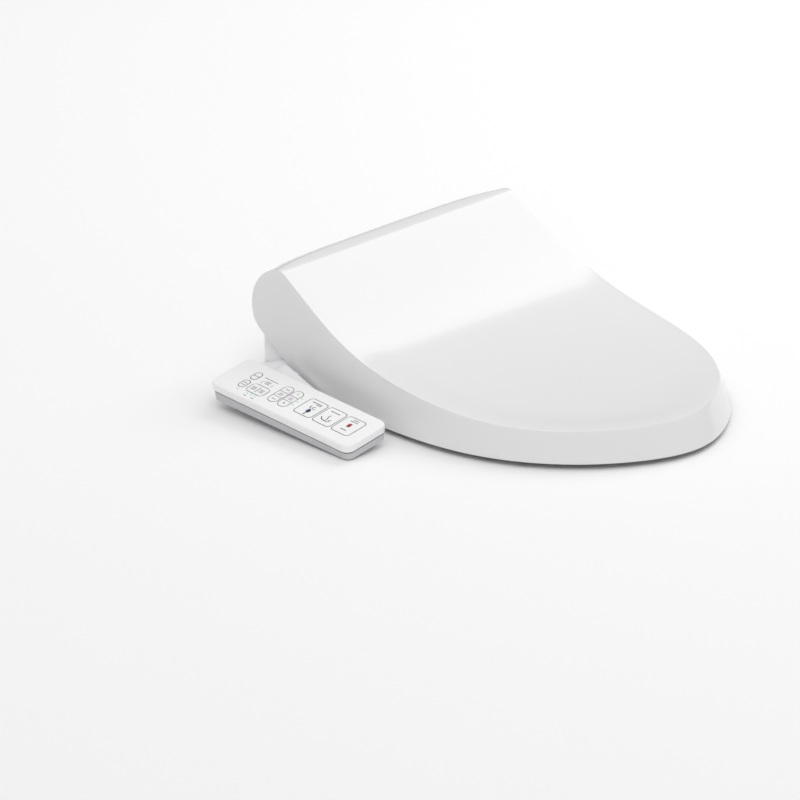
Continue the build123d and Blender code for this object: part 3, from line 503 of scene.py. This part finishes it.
def build_ear(side):
    """The flat ear that carries the ring on a hinge pin."""
    arc = [around_hinge(EAR_R, a) for a in np.linspace(118, -62, 40)]
    profile = arc + [(-72, 30), (-88, 32), (-84, 44), (-82, 53)]
    inner = [around_hinge(PIN_HOLE_R, a) for a in np.linspace(118, -242, 44)[:-1]]
    work = bmesh.new()
    loops = [[work.verts.new((side * EAR_INNER * MM, y * MM, z * MM)) for y, z in loop]
             for loop in (profile, inner)]
    edges = [work.edges.new((loop[k], loop[(k + 1) % len(loop)])) for loop in loops for k in range(len(loop))]
    bmesh.ops.triangle_fill(work, use_beauty=True, edges=edges)
    grown = bmesh.ops.extrude_face_region(work, geom=list(work.faces))["geom"]
    grown_points = [part for part in grown if isinstance(part, bmesh.types.BMVert)]
    bmesh.ops.translate(work, verts=grown_points, vec=(side * EAR_T * MM, 0, 0))
    mesh = bpy.data.meshes.new("ear")
    work.to_mesh(mesh)
    work.free()
    ear = bpy.data.objects.new("ear", mesh)
    bpy.context.scene.collection.objects.link(ear)
    tidy_mesh(ear, 35)
    soften(ear, 0.7, 3, 50)
    apply_modifiers(ear)
    shade(ear, 50)
    return ear


def build_seat():
    """Both shells of the seat, the upper one with its ears."""
    loop = ring_outline()
    upper, lower = build_upper_ring(loop), build_lower_ring(loop)
    for shell in (upper, lower):
        cut_bridge(shell)
    shade(upper, 40)
    upper = join("seat_upper_shell_visual", upper, *[build_ear(side) for side in (-1, 1)])
    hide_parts("seat_upper_shell")
    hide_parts("seat_lower_shell")
    for shell in (upper, lower):
        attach(shell, "seat")
    return upper, lower


ring, ring_base = build_seat()


# ------------------------------------------------------------------ side arm
ARM_INNER, ARM_OUTER = -186.3, -246
ARM_FRONT, ARM_BACK = 3.0, 71.0
ARM_TOP, ARM_LOW = 21.8, 1.0
LEDGE_OUTER, LEDGE_FRONT, LEDGE_BACK = -225.5, -34, 48
LEDGE_TOP, LEDGE_RISE, LEDGE_SLOPE = 21.6, 9.4, 0.28
LEDGE_INNER = [(-45, -197.1), (-3, -200.6), (26, -203.0), (62, -205.9)]  # x of its inner side against -y
FOOT_INNER, FOOT_FRONT, FOOT_BACK, FOOT_TOP = -208.5, -100, 2.6, 7.0


def arm_height(x, y):
    """Top of the arm: level, but climbing softly onto the unit's wall and sinking below the panel."""
    climb = 15 * smoothstep(ARM_BACK + 1 - y, 0, 46) * (1 - smoothstep(ARM_INNER - x, 0, 22)) ** 1.5
    sink = 9 * smoothstep(-226 - x, 0, 16) + 0.06 * np.maximum(20 - y, 0) * (x < -222)
    return ARM_TOP + climb - sink


def closed_down(name, rows, low):
    """A solid block below a grid of top points."""
    n, count = len(rows[0]), len(rows)
    points = [p for row in rows for p in row]
    faces = [[i * n + k, i * n + k + 1, (i + 1) * n + k + 1, (i + 1) * n + k]
             for i in range(count - 1) for k in range(n - 1)]
    rim = list(range(n)) + [i * n + n - 1 for i in range(1, count)]
    rim += [(count - 1) * n + k for k in range(n - 2, -1, -1)] + [i * n for i in range(count - 2, 0, -1)]
    start, m = len(points), len(rim)
    points += [(points[k][0], points[k][1], low) for k in rim]
    faces += [[rim[k], rim[(k + 1) % m], start + (k + 1) % m, start + k] for k in range(m)]
    faces.append([start + k for k in range(m)])
    return make_object(name, points, faces, sharp=35)


def rounded_drop(distance, radius):
    """How far a rounded edge falls at a distance from its wall."""
    return radius - math.sqrt(max(radius**2 - max(radius - distance, 0) ** 2, 0))


def build_arm_top():
    """The arm itself, between the unit's wall and the panel."""
    across = np.concatenate([np.linspace(ARM_INNER, -210, 19), np.linspace(-213, ARM_OUTER, 12)])
    along = np.concatenate([[ARM_BACK, 70.7, 70.0, 68.8, 67.2], np.linspace(65, 4.2, 24), [3.4, ARM_FRONT]])
    rows = [[(x, y, float(arm_height(x, y)) - rounded_drop(ARM_BACK - y, 3)) for x in across] for y in along]
    return closed_down("side_arm_top", rows, ARM_LOW)


def build_ledge():
    """The ledge that rises from the arm along the lid's flank and runs out beside the panel."""
    shares, rows = (0, 0.06, 0.15, 0.3, 0.45, 0.6, 0.8, 1), []
    for y in np.concatenate([np.linspace(LEDGE_BACK, -28, 32), [-30.6, -32.4, -33.5, -33.9, LEDGE_FRONT]]):
        inner = float(np.interp(-y, *zip(*LEDGE_INNER)))
        crest = (LEDGE_RISE + LEDGE_SLOPE * (y - ARM_FRONT)) * (1 - float(smoothstep(y, 16, LEDGE_BACK)))
        drop = rounded_drop(y - LEDGE_FRONT, 3)
        height = [LEDGE_TOP + max(crest, 0) * (1 - t) ** 1.4 - drop for t in shares]
        rows.append([(inner + (LEDGE_OUTER - inner) * t, y, z) for t, z in zip(shares, height)])
    return closed_down("side_arm_ledge", rows, ARM_LOW)


def build_foot():
    """The low foot under the panel."""
    plan = ((ARM_OUTER, FOOT_FRONT), (FOOT_INNER, FOOT_FRONT),
            (FOOT_INNER, FOOT_BACK), (ARM_OUTER, FOOT_BACK))
    points = [(x, y, z) for z in (ARM_LOW, FOOT_TOP) for x, y in plan]
    faces = [[0, 1, 2, 3], [7, 6, 5, 4]] + [[k, (k + 1) % 4, 4 + (k + 1) % 4, 4 + k] for k in range(4)]
    foot = make_object("side_arm_foot", points, faces, sharp=35)
    soften(foot, 1.2, 3)
    apply_modifiers(foot)
    shade(foot, 60)
    return foot


def build_arm():
    """The arm that carries the panel."""
    arm = join("side_arm_visual", build_arm_top(), build_ledge(), build_foot())
    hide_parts("side_arm")
    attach(arm, "root")
    return arm


arm = build_arm()


# ------------------------------------------------------------------ finishes
def finish_of(name, colour, shade_to, rough, grain, spread, bump, fine, metallic=0.0, coat=0.0, glow=0.0,
              stretch=(1, 1, 1)):
    """A procedural finish: slow colour and gloss drift of a grain size, with a finer surface relief."""
    material = bpy.data.materials.new(name)
    material.use_nodes = True
    nodes, links = material.node_tree.nodes, material.node_tree.links
    shader = nodes["Principled BSDF"]
    place = nodes.new("ShaderNodeTexCoord")
    mapping = nodes.new("ShaderNodeMapping")
    mapping.inputs["Scale"].default_value = stretch
    links.new(place.outputs["Object"], mapping.inputs["Vector"])
    drift = nodes.new("ShaderNodeTexNoise")
    drift.inputs["Scale"].default_value = grain
    drift.inputs["Detail"].default_value = 3
    links.new(mapping.outputs["Vector"], drift.inputs["Vector"])
    tone = nodes.new("ShaderNodeMix")
    tone.data_type = "RGBA"
    tone.inputs["A"].default_value = (*colour, 1)
    tone.inputs["B"].default_value = (*shade_to, 1)
    links.new(drift.outputs["Fac"], tone.inputs["Factor"])
    links.new(tone.outputs["Result"], shader.inputs["Base Color"])
    gloss = nodes.new("ShaderNodeMapRange")
    gloss.inputs["To Min"].default_value = max(rough - spread, 0.02)
    gloss.inputs["To Max"].default_value = rough + spread
    links.new(drift.outputs["Fac"], gloss.inputs["Value"])
    links.new(gloss.outputs["Result"], shader.inputs["Roughness"])
    peel = nodes.new("ShaderNodeTexNoise")
    peel.inputs["Scale"].default_value = fine
    peel.inputs["Detail"].default_value = 2
    links.new(mapping.outputs["Vector"], peel.inputs["Vector"])
    relief = nodes.new("ShaderNodeBump")
    relief.inputs["Strength"].default_value = bump
    relief.inputs["Distance"].default_value = 0.0004
    links.new(peel.outputs["Fac"], relief.inputs["Height"])
    links.new(relief.outputs["Normal"], shader.inputs["Normal"])
    shader.inputs["Metallic"].default_value = metallic
    shader.inputs["Coat Weight"].default_value = coat
    shader.inputs["Coat Roughness"].default_value = 0.06
    if glow:
        links.new(tone.outputs["Result"], shader.inputs["Emission Color"])
        shader.inputs["Emission Strength"].default_value = glow
    return material


finishes = {
    "lid_gloss": finish_of("glossy_lid_plastic", (0.80, 0.80, 0.808), (0.815, 0.815, 0.82),
                           0.17, 6, 0.02, 0.012, 350, coat=0.25),
    "seat_gloss": finish_of("glossy_seat_plastic", (0.79, 0.79, 0.80), (0.81, 0.81, 0.815),
                            0.2, 6, 0.02, 0.012, 350, coat=0.2),
    "housing": finish_of("housing_plastic", (0.89, 0.885, 0.90), (0.91, 0.905, 0.915),
                         0.36, 12, 0.05, 0.05, 1400),
    "panel_white": finish_of("panel_cover_plastic", (0.915, 0.915, 0.916), (0.925, 0.925, 0.925),
                             0.38, 14, 0.04, 0.04, 1600),
    "panel_grey": finish_of("panel_base_plastic", (0.56, 0.555, 0.58), (0.60, 0.595, 0.615),
                            0.42, 14, 0.05, 0.06, 1500),
    "key_white": finish_of("key_film", (0.91, 0.91, 0.912), (0.92, 0.92, 0.92), 0.42, 20, 0.04, 0.05, 1800),
    "soft_white": finish_of("soft_rubber", (0.55, 0.55, 0.56), (0.61, 0.61, 0.62),
                            0.6, 60, 0.06, 0.15, 1200),
    "seal_dark": finish_of("seal_rubber", (0.05, 0.05, 0.055), (0.075, 0.075, 0.08),
                           0.65, 60, 0.06, 0.2, 1200),
    "steel": finish_of("brushed_steel", (0.52, 0.53, 0.54), (0.64, 0.65, 0.66),
                       0.28, 90, 0.08, 0.1, 1500, 1.0, stretch=(0.1, 1, 1)),
    "brass": finish_of("plated_brass", (0.60, 0.46, 0.22), (0.70, 0.55, 0.30),
                       0.3, 80, 0.08, 0.08, 1200, 1.0),
    "black_plastic": finish_of("black_plastic_grain", (0.018, 0.018, 0.02), (0.035, 0.035, 0.038),
                               0.45, 50, 0.06, 0.12, 1800),
    "board": finish_of("board_laminate", (0.02, 0.12, 0.05), (0.03, 0.2, 0.08), 0.4, 140, 0.08, 0.1, 1500),
    "led_green": finish_of("green_lens", (0.30, 0.72, 0.32), (0.40, 0.80, 0.42),
                           0.3, 120, 0.05, 0.02, 900, glow=0.12),
    "nozzle_white": finish_of("nozzle_plastic", (0.74, 0.75, 0.76), (0.79, 0.79, 0.80),
                              0.3, 30, 0.04, 0.04, 1500),
    "nozzle_steel": finish_of("nozzle_tube_steel", (0.58, 0.59, 0.60), (0.7, 0.7, 0.71),
                              0.2, 70, 0.06, 0.05, 1600, 1.0, stretch=(1, 0.1, 1)),
    "tank": finish_of("tank_plastic", (0.42, 0.43, 0.45), (0.5, 0.5, 0.52), 0.4, 30, 0.06, 0.1, 900),
    "hose": finish_of("silicone_hose", (0.5, 0.52, 0.55), (0.6, 0.62, 0.64), 0.5, 50, 0.06, 0.1, 900),
    "foil": finish_of("heater_foil", (0.72, 0.72, 0.72), (0.86, 0.86, 0.86), 0.3, 160, 0.12, 0.4, 300, 1.0),
    "plate": finish_of("mounting_plate_plastic", (0.44, 0.44, 0.46), (0.5, 0.5, 0.51),
                       0.5, 40, 0.06, 0.15, 1200),
}
ink = {
    "line": finish_of("grey_print", (0.13, 0.13, 0.14), (0.17, 0.17, 0.18), 0.5, 300, 0.05, 0.05, 1800),
    "navy": finish_of("navy_print", (0.014, 0.03, 0.075), (0.025, 0.045, 0.10), 0.5, 300, 0.05, 0.05, 1800),
    "coal": finish_of("charcoal_print", (0.05, 0.052, 0.06), (0.07, 0.072, 0.08),
                      0.5, 300, 0.05, 0.05, 1800),
    "red": finish_of("red_print", (0.33, 0.008, 0.012), (0.40, 0.015, 0.018), 0.5, 300, 0.05, 0.05, 1800),
}


def paint(obj, material):
    """Gives an object one material."""
    obj.data.materials.clear()
    obj.data.materials.append(material)


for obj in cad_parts.values():
    for holder in obj.material_slots:
        if holder.material:
            holder.material = finishes[holder.material.name.split(".")[0]]
paint(lid, finishes["lid_gloss"])
paint(strip, finishes["lid_gloss"])
paint(arm, finishes["housing"])
paint(ring, finishes["seat_gloss"])
paint(ring_base, finishes["seat_gloss"])

# ------------------------------------------------------------------ printed marks on the panel
PANEL_AT = Vector((-262.8, -63.5, 33.0))
PANEL_PITCH, PANEL_ROLL = math.radians(3.85), math.radians(-9.8)
PANEL_TURN = Euler((PANEL_PITCH, 0, 0)).to_matrix() @ Euler((0, PANEL_ROLL, 0)).to_matrix()
PANEL_W, PANEL_L = 65.4, 224.4
INK = 0.05                            # how far a printed mark stands up
INK_SUNK = 0.02
KEY_PROUD = 0.15
# middle of each key: distance from the panel's rear end, then from its outer edge
KEY_AT = {
    "key_power": (36.2, 22.4),
    "key_saver": (36.2, 41.9),
    "key_water_temperature": (52.3, 22.4),
    "key_seat_temperature": (64.7, 22.4),
    "key_position_back": (85.8, 20.7),
    "key_position_front": (85.8, 43.5),
    "key_pressure_up": (101.7, 20.7),
    "key_pressure_down": (101.7, 43.5),
    "key_rear_wash": (133.9, 32.7),
    "key_front_wash": (164.0, 32.7),
    "key_stop": (194.1, 32.7),
}
FRAME_LINE, WORD_LINE = 0.8, 0.95     # widths of the printed frames and of the dashes for words
WORD_GAP = 0.9


def panel_point(p, q, height):
    """p from the panel's rear end, q from its outer edge, height above the cover."""
    return PANEL_AT + PANEL_TURN @ Vector((q - PANEL_W / 2, PANEL_L / 2 - p, height))


class Print:
    """Gathers thin printed shapes, placed from one point (p, q) of the panel or of a key."""

    def __init__(self, name, body, height, material, at=(0, 0)):
        self.name, self.body, self.height = name, body, height
        self.material, self.at = material, at
        self.points, self.faces = [], []

    def place(self, outline, height):
        """Adds the points of an outline at a height."""
        self.points += [panel_point(self.at[0] + p, self.at[1] + q, height) for p, q in outline]

    def add(self, inner, outer=None):
        """A filled outline, or the band between two outlines with as many points each."""
        low, high = self.height - INK_SUNK, self.height + INK
        start, n = len(self.points), len(inner)
        if outer is None:
            self.place(inner, low)
            self.place(inner, high)
            self.faces.append([start + n + k for k in range(n)])
            self.faces.append([start + k for k in reversed(range(n))])
            self.faces += [[start + k, start + (k + 1) % n, start + n + (k + 1) % n, start + n + k]
                           for k in range(n)]
            return self
        for loop, height in ((inner, low), (outer, low), (outer, high), (inner, high)):
            self.place(loop, height)
        for side in range(4):
            a, b = start + side * n, start + (side + 1) % 4 * n
            self.faces += [[a + k, a + (k + 1) % n, b + (k + 1) % n, b + k] for k in range(n)]
        return self

    def outline(self, p, q, along, across, corner, width):
        """A corner-rounded frame whose line runs on both sides of the given size."""
        return self.add(
            rounded(p, q, along - width, across - width, max(corner - width / 2, 0.2)),
            rounded(p, q, along + width, across + width, corner + width / 2),
        )

    def stroke(self, path, width):
        """A line of even width through points (p, q), drawn as pieces with round ends."""
        steps, reach = 6, width / 2
        for (p0, q0), (p1, q1) in zip(path, path[1:]):
            angle = math.atan2(q1 - q0, p1 - p0)
            ends = []
            for p, q, first in ((p1, q1, angle - math.pi / 2), (p0, q0, angle + math.pi / 2)):
                for k in range(steps + 1):
                    turn = first + math.pi * k / steps
                    ends.append((p + reach * math.cos(turn), q + reach * math.sin(turn)))
            self.add(ends)
        return self

    def label(self, p, q, words, width):
        """Short dashes that stand for a printed label, running along the panel from p."""
        for word in words:
            self.stroke([(p, q), (p + word, q)], width)
            p += word + WORD_GAP
        return self

    def build(self):
        """Makes the object and lets it ride on its body."""
        obj = make_object(self.name, [tuple(point) for point in self.points], self.faces, sharp=30)
        paint(obj, self.material)
        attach(obj, self.body)


def rounded(p, q, along, across, corner):
    """Corner-rounded rectangle centred at (p, q)."""
    loop, steps, least_straight = [], 7, 0.01
    corner = min(corner, along / 2 - least_straight, across / 2 - least_straight)
    for cp, cq, first in ((1, 1, 0), (-1, 1, 90), (-1, -1, 180), (1, -1, 270)):
        for k in range(steps):
            turn = math.radians(first + 90 * k / (steps - 1))
            loop.append((p + cp * (along / 2 - corner) + corner * math.cos(turn),
                         q + cq * (across / 2 - corner) + corner * math.sin(turn)))
    return loop


def on_key(key, part, colour="line"):
    """A print that moves with a key; its points are measured from the key's middle."""
    return Print(f"{key}_{part}", key, KEY_PROUD, ink[colour], KEY_AT[key])


# small keys
mark = on_key("key_power", "print").outline(0, 0, 9.5, 15.3, 4.6, FRAME_LINE)
mark.stroke([(-2.8, -2.2), (2.8, -2.2)], WORD_LINE).stroke([(-2.6, 2.0), (2.6, 2.0)], WORD_LINE).build()
mark = on_key("key_saver", "print").outline(0, 0, 9.5, 15.3, 4.6, FRAME_LINE)
mark.stroke([(-4.5, -0.1), (4.5, -0.1)], WORD_LINE).build()

# the joined pair, with a dividing line between them
pair_p, pair_q = np.mean([KEY_AT["key_water_temperature"], KEY_AT["key_seat_temperature"]], axis=0)
for key in ("key_water_temperature", "key_seat_temperature"):
    offset = pair_p - KEY_AT[key][0]
    divider = offset - math.copysign(0.42, offset)
    mark = on_key(key, "print")
    mark.stroke([(-2.9, -2.5), (2.7, -2.5)], 1.0)
    mark.stroke([(-2.7, -0.1), (2.2, -0.1)], 0.85)
    mark.stroke([(-3.0, 2.2), (2.6, 2.2)], 1.0)
    mark.stroke([(divider, -5.0), (divider, 5.0)], 0.4).build()

# rocker keys: words on the first capsule, plus and minus on the second
for key in ("key_position_back", "key_position_front"):
    on_key(key, "print").stroke([(-2.6, -0.2), (2.8, -0.2)], WORD_LINE).build()
mark = on_key("key_pressure_up", "print")
mark.stroke([(-1.7, 0.7), (1.7, 0.7)], 0.75)
mark.stroke([(0, -1.0), (0, 0.3)], 0.75).stroke([(0, 1.1), (0, 2.4)], 0.75).build()
on_key("key_pressure_down", "print").stroke([(0, -1.3), (0, 1.9)], 0.75).build()

# large keys: frames, then a spray, a basin and a stop sign
for key in ("key_rear_wash", "key_front_wash", "key_stop"):
    on_key(key, "outline").outline(0, 0, 27.2, 32.4, 4.6, 0.85).build()
spray = on_key("key_rear_wash", "icon", "navy")
spray.add([(-0.9, -7.9), (-1.4, -4.7), (0, -1.9), (2.7, -2.3), (4.4, -5.1), (4.1, -8.1), (1.9, -10.1)])
spray.stroke([(1.1, -13.8), (1.5, -9.5)], 1.5)
spray.stroke([(-0.3, -0.7), (-2.7, 1.2), (-2.3, 4.2)], 1.0)
spray.stroke([(2.1, -0.5), (1.3, 2.3), (3.3, 4.1)], 1.0)
spray.stroke([(4.5, -1.7), (6.0, 0.9)], 0.9).build()
wash = on_key("key_front_wash", "icon", "coal")
wash.stroke([(-8.0, -4.9), (-5.6, -7.9), (-0.8, -9.3), (3.8, -9.5), (6.6, -7.1)], 1.15)
wash.stroke([(0.4, -7.9), (0.8, -4.3), (-1.2, -0.5), (-0.2, 2.9)], 1.0)
wash.stroke([(3.4, -5.9), (6.0, -4.3)], 1.0).build()
on_key("key_stop", "icon", "red").add(rounded(-0.3, 1.3, 4.8, 7.0, 0.4)).build()
words = on_key("key_rear_wash", "label")
words.label(-7.3, 10.9, (4.6, 4.0, 3.8), 1.25).label(0.5, 8.5, (6.2,), 1.1).build()
on_key("key_front_wash", "label").label(-7.0, 9.9, (5.4, 6.8), 1.3).build()
words = on_key("key_stop", "label")
words.label(-5.5, 9.3, (4.8, 4.6), 1.2).label(-3.9, 12.7, (7.8,), 1.1).build()
on_key("key_stop", "note").label(-3.9, -8.5, (3.6, 3.2), 1.3).build()

# marks printed on the cover itself: frames around the pair and around both rockers
cover = Print("panel_print", "root", 0, ink["line"])
cover.outline(pair_p, pair_q, 26.2, 17.5, 5.0, FRAME_LINE)
rockers = (("key_position_back", "key_position_front"), ("key_pressure_up", "key_pressure_down"))
for first_key, second_key in rockers:
    p, q = np.mean([KEY_AT[first_key], KEY_AT[second_key]], axis=0)
    cover.outline(p, q, 14.1, 35.5, 6.6, FRAME_LINE)
    for edge in (-5.15, 5.15):
        cover.stroke([(p - 6.8, q + edge), (p + 6.8, q + edge)], 0.7)
    cover.stroke([(p - 3.4, q - 1.3), (p + 3.0, q - 1.3)], WORD_LINE)
    cover.stroke([(p - 2.8, q + 1.3), (p + 2.8, q + 1.3)], WORD_LINE)
cover.build()
notes = Print("panel_notes", "root", 0, ink["line"])
notes.label(46.6, 45.8, (6.0, 4.6, 8.2), 0.95)
notes.label(54.2, 41.4, (6.6,), 0.9).label(54.6, 39.1, (5.8,), 0.9).label(54.8, 36.8, (6.0,), 0.9)
notes.stroke([(51.2, 34.4), (49.2, 36.6), (50.2, 39.4), (52.6, 40.2)], 0.55)
notes.stroke([(64.4, 35.6), (66.4, 36.6), (66.0, 39.6)], 0.55)
notes.label(52.2, 5.6, (3.9,), 1.0).label(63.6, 5.8, (3.9,), 1.0)
notes.build()

# ------------------------------------------------------------------ floor, light and camera
bpy.ops.mesh.primitive_plane_add(size=60, location=(0, 0, 0))
floor = bpy.context.object
floor.name = "floor"
paint(floor, finish_of("floor_paper", (0.945, 0.945, 0.948), (0.955, 0.955, 0.957), 0.9, 2, 0.03, 0.0, 40))

# a sky that is dimmer at the horizon than overhead
HORIZON, OVERHEAD, OVERHEAD_FROM = (0.30, 0.30, 0.304, 1), (0.72, 0.72, 0.72, 1), 0.75
world = bpy.data.worlds.new("studio")
bpy.context.scene.world = world
world.use_nodes = True
sky, wires = world.node_tree.nodes, world.node_tree.links
view = sky.new("ShaderNodeTexCoord")
height = sky.new("ShaderNodeSeparateXYZ")
wires.new(view.outputs["Generated"], height.inputs["Vector"])
fade = sky.new("ShaderNodeValToRGB")
low_end, high_end = fade.color_ramp.elements
low_end.position, low_end.color = 0.0, HORIZON
high_end.position, high_end.color = OVERHEAD_FROM, OVERHEAD
wires.new(height.outputs["Z"], fade.inputs["Fac"])
wires.new(fade.outputs["Color"], sky["Background"].inputs["Color"])
sky["Background"].inputs["Strength"].default_value = 1.0


def place_light(name, kind, energy):
    """A lamp of a kind, linked into the scene."""
    lamp = bpy.data.lights.new(name, kind)
    lamp.energy = energy
    holder = bpy.data.objects.new(name, lamp)
    bpy.context.scene.collection.objects.link(holder)
    return holder


softbox = place_light("right_softbox", "AREA", 21)
softbox.data.shape = "RECTANGLE"
softbox.data.size, softbox.data.size_y = 1.9, 1.9
softbox.location = (1.95, -0.2, 2.24)
softbox_aim = Vector((0, -0.15, 0.05))
softbox.rotation_euler = (softbox_aim - softbox.location).to_track_quat("-Z", "Y").to_euler()
sun = place_light("left_sun", "SUN", 0.8)
sun.data.angle = math.radians(40)
sun.rotation_euler = Vector((-0.38, -0.40, 0.83)).to_track_quat("Z", "Y").to_euler()

# a long lens, looking down at the seat from its front left
CAMERA_AT = (-3.87744, -3.79642, 2.20192)
CAMERA_TURN, CAMERA_TILT = math.radians(-45.35), math.radians(22.64)
camera = bpy.data.cameras.new("camera")
camera.lens = 225
camera.sensor_width = 36
camera.clip_end = 100
viewer = bpy.data.objects.new("camera", camera)
bpy.context.scene.collection.objects.link(viewer)
viewer.location = CAMERA_AT
level = math.cos(CAMERA_TILT)
forward = Vector((-math.sin(CAMERA_TURN) * level, math.cos(CAMERA_TURN) * level, -math.sin(CAMERA_TILT)))
viewer.rotation_euler = forward.to_track_quat("-Z", "Y").to_euler()
bpy.context.scene.camera = viewer
bpy.context.scene.view_settings.view_transform = "Standard"
